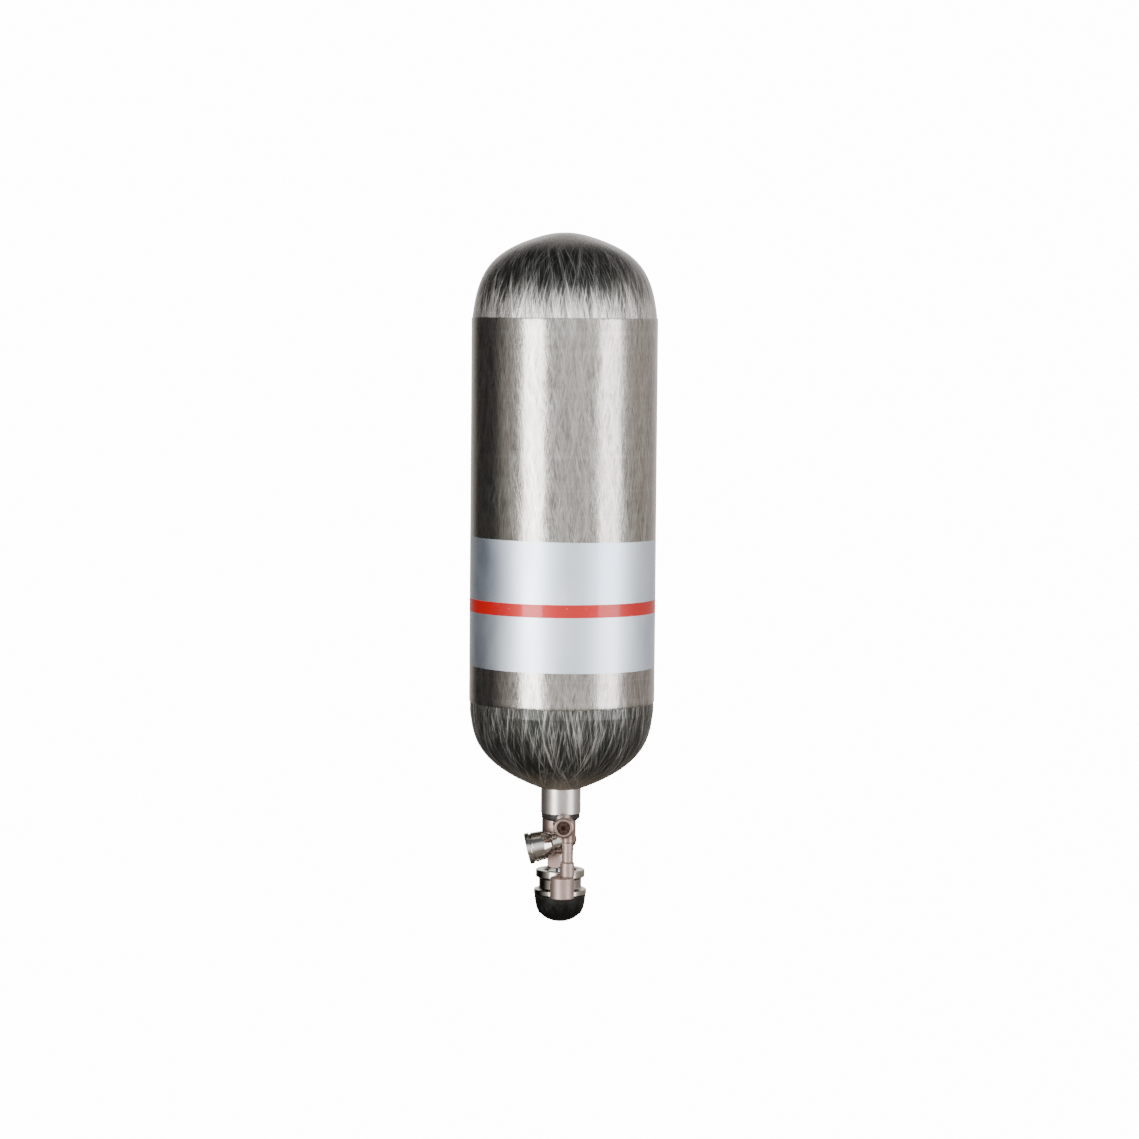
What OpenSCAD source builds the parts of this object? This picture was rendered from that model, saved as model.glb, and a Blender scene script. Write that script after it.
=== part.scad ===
// Composite air cylinder of a self-contained breathing apparatus, with its
// in-line valve, pressure gauge, outlet and handwheel. The valve hangs down.
// Origin: on the cylinder's axis, half way along the hoop wrap. +Z points to
// the closed dome, -Y to the front, where the gauge and the outlet are.

/* [Cylinder] */
// Outside radius of the hoop wrap
wrap_r = 87; // [84:0.5:90]
// Length of the hoop wrap
wrap_len = 358; // [340:1:370]
// Straight carbon wall left bare below the hoop wrap
bare_wall = 9; // [6:0.5:10]
// Thickness of the glass hoop wrap
glass_t = 0.8; // [0.6:0.1:1.2]
// Thickness of the carbon overwrap along the straight wall
carbon_t = 4.2; // [3.5:0.1:5]
// Thickness of the aluminium liner along the straight wall
liner_t = 2.2; // [1.8:0.1:3]
// Height of the closed dome
dome_h = 82; // [78:0.5:83]
// Height of the neck-end dome
shoulder_h = 73; // [71:0.5:75]

/* [Label] */
// Distance from the wrap's upper end to the label band
label_drop = 204; // [190:1:215]
// Height of the label band
label_h = 120; // [100:1:130]
// Thickness of the label band, let in flush
label_t = 0.25; // [0.2:0.05:0.4]

/* [Neck] */
// Radius of the aluminium neck
neck_r = 18.75; // [18:0.25:20]
// Visible length of the neck
neck_len = 24; // [22:0.5:26]
// Radius of the neck's threaded bore, M18 x 1.5
neck_bore_r = 9.05; // [9.05:0.05:9.2]

/* [Valve] */
// Radius of the valve body's main barrel
barrel_r = 14.5; // [14:0.1:15]
// Length of the main barrel
barrel_len = 29.4; // [28.5:0.1:30]
// Radius of the horizontal front boss
boss_r = 9.6; // [9:0.1:10.5]
// Reach of the front boss ahead of the axis
boss_reach = 46; // [45:0.5:48]
// Gland nut, across flats
gland_af = 24.5; // [24:0.1:25]
// Spindle thread pitch
pitch = 1.25; // [1:0.05:1.25]
// Turns of the handwheel from closed to open
turns = 2.5; // [1.5:0.5:2.5]

/* [Outlet] */
// Radius of the outlet's bore, the major radius of G 5/8
outlet_r = 11.46; // [11.3:0.02:11.5]
// Depth of the outlet's bore
outlet_depth = 14; // [12:0.5:14.5]
// How far the outlet leans down from level, in degrees
outlet_tilt = 14; // [12:0.5:15]

/* [Handwheel] */
// Radius of the handwheel's upper flange
flange_r = 23; // [22:0.25:23.5]
// Radius of the handwheel's waist
waist_r = 20; // [19.5:0.25:20.5]
// Radius of the handwheel's lower rim
rim_r = 24.75; // [24:0.25:25]
// Travel when the handwheel is pressed in
press = 2.5; // [1.5:0.1:2.5]

/* [Gauge] */
// Radius of the gauge case
gauge_r = 11.2; // [11:0.1:11.4]
// Height of the gauge case
gauge_h = 20.2; // [19.5:0.1:21]

/* [Hidden] */

$fn = 96;
SMALL = 0.05;           // running gap around shafts and threads
TOP = wrap_len / 2;     // upper end of the hoop wrap
FOOT = -TOP;            // lower end of the hoop wrap
WALL_END = FOOT - bare_wall;
CARBON_R = wrap_r - glass_t;
LINER_R = CARBON_R - carbon_t;
BORE_R = LINER_R - liner_t;
NECK_TOP = WALL_END - shoulder_h;
NECK_END = NECK_TOP - neck_len;
LABEL_TOP = TOP - label_drop;

// Valve heights, counted down from the neck's end face
SEAT_Z = NECK_END - 13.5;          // valve seat
BARREL_END = NECK_END - 0.1 - barrel_len;
HUB_END = BARREL_END - 6.5;        // lower face that the gland nut bears on
HUB_R = 12.4;
BOSS_Z = NECK_END - 8;             // axis of the front boss
BOSS_X = 3;
DISC_Y = 8.5 - boss_reach;         // seat of the burst disc
CARRIER_R = 6.95;
CARRIER_H = 7.8;
CARRIER_LOW = SEAT_Z - 1.2 - CARRIER_H;
COLLAR_Z = CARRIER_LOW - pitch * turns - 0.475;   // top face of the spindle's thrust collar
GLAND_TOP = NECK_END - 29.5;       // upper end of the gland nut's spigot
GLAND_END = HUB_END - 15;
SPINDLE_R = 4;
STEM_R = 3.5;
STEM_FLAT = 5.8;                   // across the flats that drive the wheel
COLLAR_OUT = 18;                   // neck collar, outside radius

// Outlet axis
MOUTH = [-31, -22, NECK_END - 31];
OUTLET_ROOT = 36;                  // from the mouth back to the boss
OUTLET_SPIGOT = 40.5;              // from the mouth back to the spigot's end
LEAN = [cos(outlet_tilt), 0, sin(outlet_tilt)];
CHAMBER = MOUTH + (OUTLET_SPIGOT + 1) * LEAN;   // behind the spigot's end
ROOT_R = 8.4;

// Handwheel heights
WHEEL_TOP = HUB_END - 17;
FLANGE_H = 7;
WAIST_H = 11.5;
RIM_Z = WHEEL_TOP - FLANGE_H - WAIST_H;
RIM_H = 5;
BUMPER_Z = RIM_Z - RIM_H;
BUMPER_END = WHEEL_TOP - 49;
WEB_TOP = WHEEL_TOP - 14.5;
WEB_H = 6;
RECESS_R = 15;
STEP_Z = WHEEL_TOP - 1.5;          // shoulder that holds the spring washer
NUT_TOP = WEB_TOP - WEB_H - 0.1;
NUT_H = 4.5;

// Gauge
STEM_X = 6.6;
STEM_Y = -35.5;
CASE_X = 1.9;
CASE_Y = -38.5;
CASE_TOP = NECK_END - 54.8;
CASE_END = CASE_TOP - gauge_h;
BLOCK_TOP = CASE_TOP + 14;
BLOCK_R = 6.6;
STEM_NECK_R = 5;
CASE_WALL = 1.2;
DIAL_Z = CASE_END + 4.5;
SHAFT_R = 0.6;

// Colours
ALU = [0.80, 0.79, 0.76];
CARBON = [0.16, 0.16, 0.17];
GLASS_WRAP = [0.55, 0.56, 0.58];
LABEL = [0.78, 0.81, 0.87];
NICKEL = [0.72, 0.65, 0.61];
CHROME = [0.85, 0.84, 0.80];
BLACK = [0.05, 0.05, 0.05];
STEEL = [0.6, 0.6, 0.6];
BRONZE = [0.65, 0.50, 0.28];
WHITE = [0.92, 0.92, 0.90];

// Points of a cubic curve from a to d, with handles b and c
function curve(a, b, c, d, n = 28) =
    [for (i = [0:n]) let (t = i / n, s = 1 - t)
        s * s * s * a + 3 * s * s * t * b + 3 * s * t * t * c + t * t * t * d];
// A curve's points in the other direction
function backwards(p) = [for (i = [len(p) - 1:-1:0]) p[i]];
// Rounds the pole of a cone of the given slope, inside the radius w
function blunt(p, slope, w) =
    [for (q = p) q.x < w ? [q.x, q.y - slope * w / 2 * pow(1 - q.x / w, 2)] : q];
// The closed dome: leaves the wall near-straight, then a flat cone to a round pole
function dome(r, h) = blunt(curve([r, TOP], [0.94 * r, TOP + 0.615 * h],
    [0.745 * r, TOP + 0.82 * h], [0, TOP + h]), 0.24 * h / r, 0.26 * r);
// The neck-end dome, down to the radius r_end
function shoulder(r, h, r_end) = curve([r, WALL_END], [0.963 * r, WALL_END - 0.28 * h],
    [0.975 * r, WALL_END - 0.67 * h], [r_end, WALL_END - h]);
// A round profile turned about the axis
module turned(points) rotate_extrude($fn = 128) polygon(points);
// A ring of round section
module o_ring(mean_r, cord_r) rotate_extrude() translate([mean_r, 0]) circle(cord_r, $fn = 32);
// A tube with its lower end at the origin
module tube(outer, inner, h) difference() {
    cylinder(r = outer, h = h);
    translate([0, 0, -1]) cylinder(r = inner, h = h + 2);
}
// A hexagon bar, its size given across flats
module hexagon(af, h) cylinder(d = af / cos(30), h = h, $fn = 6);
// Places its children on the outlet's axis, at s behind the mouth, with the
// local +Z pointing out of the mouth
module on_outlet(s) translate(MOUTH) rotate([0, -90 - outlet_tilt, 0]) translate([0, 0, -s])
    children();
// Places its children on the front boss's axis, at y, with the local +Z
// pointing to the front
module on_boss(y) translate([BOSS_X, y, BOSS_Z]) rotate([90, 0, 0]) children();
// A straight drilling from point p to point q
module drilling(p, q, r) {
    v = q - p;
    translate(p) rotate([0, acos(v.z / norm(v)), atan2(v.y, v.x)]) cylinder(r = r, h = norm(v));
}
// A closed tube swept along a helix, with flat ends
function helix_ring(a, r, rise, w, sides) =
    [for (k = [0:sides - 1]) let (u = 360 * k / sides)
        [(r + w * cos(u)) * cos(a), (r + w * cos(u)) * sin(a), rise * a / 360 + w * sin(u)]];
module helix(r, rise, loops, w, sides = 8, steps = 24) {
    n = loops * steps;
    points = [for (i = [0:n]) each helix_ring(360 * i / steps, r, rise, w, sides)];
    sides_of = [for (i = [0:n - 1], k = [0:sides - 1])
        [i * sides + k, i * sides + (k + 1) % sides,
         (i + 1) * sides + (k + 1) % sides, (i + 1) * sides + k]];
    first = [for (k = [sides - 1:-1:0]) k];
    last = [for (k = [0:sides - 1]) n * sides + k];
    polyhedron(points, concat([first], sides_of, [last]), convexity = 6);
}

/* Cylinder */
module liner() color(ALU) {
    outer_top = dome(LINER_R, dome_h - 8);
    outer_foot = shoulder(LINER_R, shoulder_h - 7, neck_r);
    inner_top = dome(BORE_R, dome_h - 15);
    inner_foot = shoulder(BORE_R, shoulder_h - 16, neck_bore_r);
    turned(concat(backwards(outer_top), outer_foot, [[neck_r, NECK_END + 0.6]],
        [[neck_r - 0.6, NECK_END], [11.9, NECK_END], [11.9, NECK_END + 2.4]],
        [[neck_bore_r, NECK_END + 2.4]], backwards(inner_foot), inner_top));
}

module carbon_overwrap() color(CARBON) {
    outer_top = dome(CARBON_R, dome_h);
    outer_foot = shoulder(CARBON_R, shoulder_h, neck_r + 0.8);
    inner_top = dome(LINER_R, dome_h - 8);
    inner_foot = shoulder(LINER_R, shoulder_h - 7, neck_r);
    turned(concat(backwards(outer_top), outer_foot, [[neck_r, NECK_TOP]],
        backwards(inner_foot), inner_top));
}

module glass_hoop_wrap() color(GLASS_WRAP) turned([
    [CARBON_R, FOOT], [wrap_r - 0.3, FOOT], [wrap_r, FOOT + 0.6],
    [wrap_r, LABEL_TOP - label_h], [wrap_r - label_t, LABEL_TOP - label_h],
    [wrap_r - label_t, LABEL_TOP], [wrap_r, LABEL_TOP], [wrap_r, TOP - 0.6],
    [wrap_r - 0.3, TOP], [CARBON_R, TOP]]);

module label_band() color(LABEL) translate([0, 0, LABEL_TOP - label_h])
    tube(wrap_r, wrap_r - label_t, label_h, $fn = 128);

/* Neck */
module neck_o_ring() color(BLACK) translate([0, 0, NECK_END + 1.15]) o_ring(10.45, 1.15);

module neck_collar() color(BLACK) difference() {
    turned([[barrel_r + 0.1, NECK_END - 0.1], [COLLAR_OUT, NECK_END - 0.1],
        [COLLAR_OUT, NECK_END - 4], [COLLAR_OUT - 2, NECK_END - 6], [barrel_r + 0.1, NECK_END - 6]]);
    on_boss(0) cylinder(r = boss_r + 0.15, h = boss_reach);
    translate([-3.6, 0, NECK_END - 7]) cylinder(r = 14.1, h = 8);
}

/* Valve body */
module body_passages() {
    // inlet, from the shank's end down to the seat
    translate([0, 0, SEAT_Z - 1]) cylinder(r = 2.5, h = 60);
    translate([0, 0, NECK_END + 12.5]) cylinder(r = 4.05, h = 20);
    // carrier thread, spindle collar and gland thread
    translate([0, 0, COLLAR_Z + 0.3]) cylinder(r = 7, h = SEAT_Z - COLLAR_Z - 0.3);
    translate([0, 0, HUB_END - 1]) cylinder(r = 9, h = COLLAR_Z + 1.3 - HUB_END);
    // high-pressure passage to the burst disc and the gauge
    on_boss(-2) cylinder(r = 2.2, h = 37);
    on_boss(DISC_Y) cylinder(r = 4.6, h = 20);
    on_boss(4.2 - boss_reach) cylinder(r = 6.2, h = 10);
    translate([STEM_X, STEM_Y, BOSS_Z - 20]) cylinder(r = 3.55, h = 14.5);
    translate([STEM_X, STEM_Y, BOSS_Z - 6]) cylinder(r = 1.2, h = 6);
    drilling([BOSS_X, STEM_Y, BOSS_Z], [STEM_X, STEM_Y, BOSS_Z], 1);
    // pocket for the outlet connector, and the passage to it from the seat
    on_outlet(OUTLET_ROOT) cylinder(r = ROOT_R + 0.1, h = OUTLET_ROOT);
    on_outlet(26) cylinder(r1 = ROOT_R + 0.1, r2 = 14, h = 8.5);
    on_outlet(OUTLET_SPIGOT + 1.75) cylinder(r = 6.05, h = 12);
    drilling([0, 0, SEAT_Z - 3.5], CHAMBER, 1.6);
}

module valve_body() color(NICKEL) difference() {
    union() {
        translate([0, 0, NECK_END - 1]) cylinder(r = neck_bore_r - 0.1, h = 26);
        translate([0, 0, BARREL_END]) cylinder(r = barrel_r, h = barrel_len);
        translate([-3.6, 0, BARREL_END + 9]) cylinder(r = 14, h = barrel_len - 9);
        translate([0, 0, HUB_END]) cylinder(r = HUB_R, h = BARREL_END - HUB_END);
        difference() {
            union() {
                on_boss(0) cylinder(r = boss_r, h = boss_reach - 1);
                on_boss(1 - boss_reach) cylinder(r1 = boss_r, r2 = boss_r - 1.4, h = 1);
                on_outlet(OUTLET_ROOT + 3) sphere(ROOT_R);
                on_outlet(OUTLET_ROOT + 3) cylinder(r = ROOT_R, h = 10);
                translate([BOSS_X, MOUTH.y, BOSS_Z - 14]) cylinder(r = 9, h = 14);
            }
            translate([0, 0, NECK_END - 0.3]) cylinder(r = neck_r + 0.3, h = 20);
        }
        translate([STEM_X, STEM_Y, BOSS_Z - 15]) cylinder(r = 6, h = 14);
        translate([STEM_X, STEM_Y, BOSS_Z - 1]) sphere(6);
    }
    body_passages();
}

module anti_debris_tube() color(BRONZE) translate([0, 0, NECK_END + 12.6]) tube(4, 2.8, 52);

module inlet_filter() color(BRONZE) translate([0, 0, NECK_END + 64.7]) difference() {
    union() {
        cylinder(r = 4.6, h = 7);
        translate([0, 0, 7]) cylinder(r1 = 4.6, r2 = 3, h = 1.5);
        translate([0, 0, -4]) cylinder(r = 2.75, h = 5);
    }
    translate([0, 0, -5]) cylinder(r = 2, h = 11);
}

module burst_disc() color(BRONZE) on_boss(DISC_Y - 0.05) cylinder(r = 4.5, h = 0.3);

module burst_disc_gasket() color(BRONZE) on_boss(DISC_Y - 0.4) tube(4.5, 2.4, 0.5);

module burst_disc_plug() color(NICKEL) on_boss(DISC_Y - 0.95) difference() {
    union() {
        cylinder(r = 4.55, h = 3.6);
        translate([0, 0, 3.5]) cylinder(r = 5.8, h = 2.2);
    }
    translate([0, 0, -1]) cylinder(r = 1.6, h = 8);
    translate([0, 0, 2.2]) hexagon(5, 4);
    for (a = [30:60:330]) rotate(a) translate([4.3, 0, 3.9]) cylinder(r = 0.7, h = 3, $fn = 24);
}

/* Outlet */
module outlet_connector() color(CHROME) on_outlet(OUTLET_SPIGOT) difference() {
    translate([0, 0, OUTLET_SPIGOT]) rotate_extrude() polygon([
        [0, -OUTLET_SPIGOT], [5.95, -OUTLET_SPIGOT], [5.95, -OUTLET_ROOT],
        [ROOT_R, -OUTLET_ROOT], [ROOT_R, -25], [9.8, -23.5], [12.9, -17.2], [13.4, -15.8],
        [14.1, -6.4], [13.3, -6], [13.3, -4.5], [14.75, -4.1], [14.75, -0.4], [14.35, 0], [0, 0]]);
    translate([0, 0, OUTLET_SPIGOT - outlet_depth]) cylinder(r = outlet_r, h = outlet_depth + 1);
    translate([0, 0, OUTLET_SPIGOT - outlet_depth - 2.5]) cylinder(r1 = 6, r2 = outlet_r - 1.2, h = 2.51);
    translate([0, 0, -1]) cylinder(r = 3, h = 30);
}

module outlet_o_ring() color(BLACK) on_outlet(OUTLET_SPIGOT + 0.87) o_ring(4.9, 0.85);

/* Spindle and seat */
module gland_nut() color(NICKEL) difference() {
    union() {
        translate([0, 0, HUB_END - 1]) cylinder(r = 8.95, h = GLAND_TOP - HUB_END + 1);
        translate([0, 0, GLAND_END + 1]) rotate(30) hexagon(gland_af, 14);
        translate([0, 0, GLAND_END]) cylinder(r1 = 11.2, r2 = gland_af / 2, h = 1);
    }
    translate([0, 0, GLAND_END - 1]) cylinder(r = SPINDLE_R + SMALL, h = 40);
    for (z = [GLAND_TOP - 5, GLAND_END + 5])
        translate([0, 0, z]) cylinder(r = 6.05, h = 2.1);
    translate([0, 0, HUB_END - 0.8]) tube(11, 9, 1);
}

module gland_gasket() color(BLACK) translate([0, 0, HUB_END - 0.75]) tube(10.9, 9.1, 0.7);

module stem_o_rings() color(BLACK) for (z = [GLAND_TOP - 5, GLAND_END + 5])
    translate([0, 0, z + 1.05]) o_ring(5.05, 0.98);

module thrust_washer() color(WHITE) translate([0, 0, GLAND_TOP + 0.05]) tube(8.6, SPINDLE_R + SMALL, 0.8);

module spindle() color(STEEL) {
    translate([0, 0, COLLAR_Z]) intersection() {
        cylinder(r = 5.6, h = 5.6);
        translate([-1.4, -6, 0]) cube([2.8, 12, 5.6]);
    }
    translate([0, 0, COLLAR_Z - 2.4]) cylinder(r = 8, h = 2.4);
    translate([0, 0, STEP_Z]) cylinder(r = SPINDLE_R, h = COLLAR_Z - 2 - STEP_Z);
    difference() {
        translate([0, 0, NUT_TOP - NUT_H - 1]) cylinder(r = STEM_R, h = STEP_Z - NUT_TOP + NUT_H + 2);
        for (side = [-1, 1]) translate([side * (STEM_FLAT / 2 + 5) - 5, -10, WEB_TOP - 13])
            cube([10, 20, 13.5 + press]);
    }
}

module seat_carrier() color(NICKEL) translate([0, 0, CARRIER_LOW]) difference() {
    cylinder(r = CARRIER_R, h = CARRIER_H);
    translate([-1.5, -8, -1]) cube([3, 16, CARRIER_H - 1.2]);
    translate([0, 0, CARRIER_H - 1]) cylinder(r = 4.5, h = 2);
}

module seat_disc() color(WHITE) translate([0, 0, SEAT_Z - 2.2]) cylinder(r = 4.45, h = 2.1);

/* Handwheel */
module spring_washer() color(STEEL) translate([0, 0, STEP_Z - 1.1]) tube(11, STEM_R + SMALL, 1);

module handwheel_spring() color(STEEL) translate([0, 0, WEB_TOP + 0.7])
    helix(8.2, 2.15, 4.75, 0.6);

module handwheel_nut() color(STEEL) translate([0, 0, NUT_TOP - NUT_H]) difference() {
    hexagon(11, NUT_H);
    translate([0, 0, -1]) cylinder(r = STEM_R + SMALL, h = NUT_H + 2);
}

module wheel_bore() intersection() {
    cylinder(r = STEM_R + 0.1, h = WEB_H + 2);
    translate([-STEM_FLAT / 2 - 0.08, -10, 0]) cube([STEM_FLAT + 0.16, 20, WEB_H + 2]);
}

module handwheel() color(CHROME) difference() {
    turned([
        [0, WEB_TOP - WEB_H], [19, WEB_TOP - WEB_H], [19, BUMPER_Z - 4], [21, BUMPER_Z - 4],
        [21, BUMPER_Z], [rim_r - 0.6, BUMPER_Z], [rim_r, BUMPER_Z + 0.6], [rim_r, RIM_Z - 1.4],
        [rim_r - 1.4, RIM_Z], [waist_r + 0.6, RIM_Z + 0.5], [waist_r, RIM_Z + 1.5],
        [waist_r, WHEEL_TOP - FLANGE_H - 1], [waist_r + 1, WHEEL_TOP - FLANGE_H],
        [flange_r - 2.2, WHEEL_TOP - FLANGE_H], [flange_r - 0.6, WHEEL_TOP - FLANGE_H + 0.7],
        [flange_r, WHEEL_TOP - FLANGE_H + 2.3], [flange_r, WHEEL_TOP - 2.3],
        [flange_r - 0.6, WHEEL_TOP - 0.7], [flange_r - 2.2, WHEEL_TOP], [0, WHEEL_TOP]]);
    translate([0, 0, WEB_TOP]) cylinder(r = RECESS_R, h = 30);
    translate([0, 0, WEB_TOP - WEB_H - 1]) wheel_bore();
}

module handwheel_bumper() color(BLACK) difference() {
    turned([
        [0, BUMPER_END], [6.5, BUMPER_END], [13.4, BUMPER_END + 2.6], [20.2, BUMPER_END + 8],
        [22.4, BUMPER_END + 13], [23.6, BUMPER_END + 19.5], [24.2, BUMPER_Z], [0, BUMPER_Z]]);
    translate([0, 0, BUMPER_END + 13]) cylinder(r = 13, h = 30);
    translate([0, 0, BUMPER_Z - 4.05]) cylinder(r = 21.05, h = 10);
    for (a = [15:30:345]) rotate(a) translate([19, 0, BUMPER_END + 0.7]) rotate([0, 25, 0])
        cylinder(r = 3.2, h = 24, $fn = 32);
}

/* Gauge */
module at_stem(z) translate([STEM_X, STEM_Y, z]) children();
module at_case(z) translate([CASE_X, CASE_Y, z]) children();

module gauge_stem() color(NICKEL) difference() {
    union() {
        at_stem(BLOCK_TOP) cylinder(r = STEM_NECK_R, h = BOSS_Z - 15 - BLOCK_TOP);
        at_stem(BOSS_Z - 16) cylinder(r = 3.5, h = 8.8);
        at_stem(CASE_TOP + 0.05) cylinder(r = BLOCK_R, h = BLOCK_TOP - CASE_TOP - 1);
        at_stem(BLOCK_TOP - 1) cylinder(r1 = BLOCK_R, r2 = STEM_NECK_R + 0.6, h = 1);
        at_stem(CASE_TOP - 4) cylinder(r = 2.5, h = 6);
    }
    at_stem(CASE_TOP - 5) cylinder(r = 0.8, h = 60);
}

module gauge_o_ring() color(BLACK) at_stem(BOSS_Z - 6.35) o_ring(2.5, 0.8);

module gauge_case() color(NICKEL) at_case(CASE_END) difference() {
    rotate_extrude() polygon([[0, 0], [gauge_r - 0.8, 0], [gauge_r, 0.8],
        [gauge_r, gauge_h - 0.9], [gauge_r - 0.9, gauge_h], [0, gauge_h]]);
    translate([0, 0, -1]) cylinder(r = gauge_r - CASE_WALL, h = gauge_h - 0.5);
    translate([STEM_X - CASE_X, STEM_Y - CASE_Y, 0]) cylinder(r = 2.55, h = 40);
}

module gauge_dial() color(WHITE) at_case(DIAL_Z) difference() {
    cylinder(r = gauge_r - CASE_WALL - 0.05, h = 0.6);
    translate([0, 0, -1]) cylinder(r = SHAFT_R + 0.06, h = 3);
}

module coil_foot() color(BRONZE) at_stem(CASE_TOP - 8.2) cylinder(r = 2.2, h = 4.2);

module bourdon_coil() color(BRONZE) at_case(DIAL_Z + 2) rotate(36) helix(6.2, 1.6, 3, 0.6);

module pointer_shaft() color(STEEL) {
    at_case(DIAL_Z - 1.3) cylinder(r = SHAFT_R, h = 9);
    at_case(DIAL_Z + 5.6) cylinder(r = 2, h = 0.8);
    at_case(DIAL_Z + 5.6) translate([0, -0.5, 0]) cube([4.8, 1, 0.8]);
}

module gauge_pointer() color(BLACK) at_case(DIAL_Z - 1.1) difference() {
    union() {
        cylinder(r = 1.5, h = 0.4);
        linear_extrude(0.4) polygon([[-0.7, 0], [-0.45, -3.4], [0.45, -3.4], [0.7, 0],
            [0.18, 8], [-0.18, 8]]);
    }
    translate([0, 0, -1]) cylinder(r = SHAFT_R + 0.01, h = 3);
}

module gauge_lens() color([0.9, 0.95, 1, 0.4]) at_case(CASE_END + 1.2)
    cylinder(r = gauge_r - CASE_WALL - 0.05, h = 1.6);

module lens_ring() color(NICKEL) at_case(CASE_END + 0.3)
    tube(gauge_r - CASE_WALL - 0.03, gauge_r - CASE_WALL - 1.4, 0.85);

liner();
carbon_overwrap();
glass_hoop_wrap();
label_band();
neck_o_ring();
neck_collar();
valve_body();
anti_debris_tube();
inlet_filter();
burst_disc();
burst_disc_gasket();
burst_disc_plug();
outlet_connector();
outlet_o_ring();
gland_nut();
gland_gasket();
stem_o_rings();
thrust_washer();
spindle();
seat_carrier();
seat_disc();
spring_washer();
handwheel_spring();
handwheel_nut();
handwheel();
handwheel_bumper();
gauge_stem();
gauge_o_ring();
gauge_case();
gauge_dial();
bourdon_coil();
coil_foot();
pointer_shaft();
gauge_pointer();
gauge_lens();
lens_ring();
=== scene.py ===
"""A composite breathing-air cylinder with its valve: the looks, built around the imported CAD."""
import math

import bmesh
import bpy
import numpy as np
from mathutils import Matrix, Vector


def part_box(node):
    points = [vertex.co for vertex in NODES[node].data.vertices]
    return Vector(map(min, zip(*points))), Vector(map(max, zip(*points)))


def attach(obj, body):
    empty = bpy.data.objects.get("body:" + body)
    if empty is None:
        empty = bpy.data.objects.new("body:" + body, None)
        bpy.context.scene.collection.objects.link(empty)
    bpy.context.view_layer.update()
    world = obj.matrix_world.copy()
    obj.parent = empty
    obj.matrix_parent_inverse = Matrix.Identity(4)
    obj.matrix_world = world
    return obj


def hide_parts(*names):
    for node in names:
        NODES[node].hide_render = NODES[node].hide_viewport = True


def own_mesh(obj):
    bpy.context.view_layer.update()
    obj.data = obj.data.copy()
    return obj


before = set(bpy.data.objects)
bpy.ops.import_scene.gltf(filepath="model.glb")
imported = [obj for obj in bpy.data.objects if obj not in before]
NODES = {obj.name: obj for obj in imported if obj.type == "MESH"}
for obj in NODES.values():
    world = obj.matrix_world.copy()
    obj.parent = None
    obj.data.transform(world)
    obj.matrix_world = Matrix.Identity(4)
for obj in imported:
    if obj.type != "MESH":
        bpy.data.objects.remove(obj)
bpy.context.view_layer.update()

MM = 0.001

# ---------------------------------------------------------------- shape of the cylinder
WRAP_LO, WRAP_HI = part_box("glass_hoop_wrap")
SKIN_LO, SKIN_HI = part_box("carbon_overwrap")
LABEL_LO, LABEL_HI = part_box("label_band")
WRAP_TOP, WRAP_FOOT = WRAP_HI.z, WRAP_LO.z
DOME_H = 82.0 * MM          # from the wall's upper end to where the dome's curve would end
SHOULDER_H = 73.0 * MM      # from the wall's lower end to the neck
SHOULDER_TOP = SKIN_LO.z + SHOULDER_H
WRAP_R = 87.0 * MM          # outside of the hoop wrap
SKIN_R = 86.2 * MM          # outside of the carbon overwrap
NECK_R = 18.75 * MM
BLUNT_WIDE = 0.26           # part of the dome's radius that is rounded off at the pole
BLUNT_SLOPE = 0.24          # slope there, in dome heights for a dome radius
POLE_R = 14.0 * MM          # radius at which the helical tows turn round at each end
TURN_RATE = POLE_R / math.sqrt(WRAP_R ** 2 - POLE_R ** 2) / WRAP_R   # tows' turn on the wall
TOWS = 84                   # tows side by side round the wall, in each direction


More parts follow.
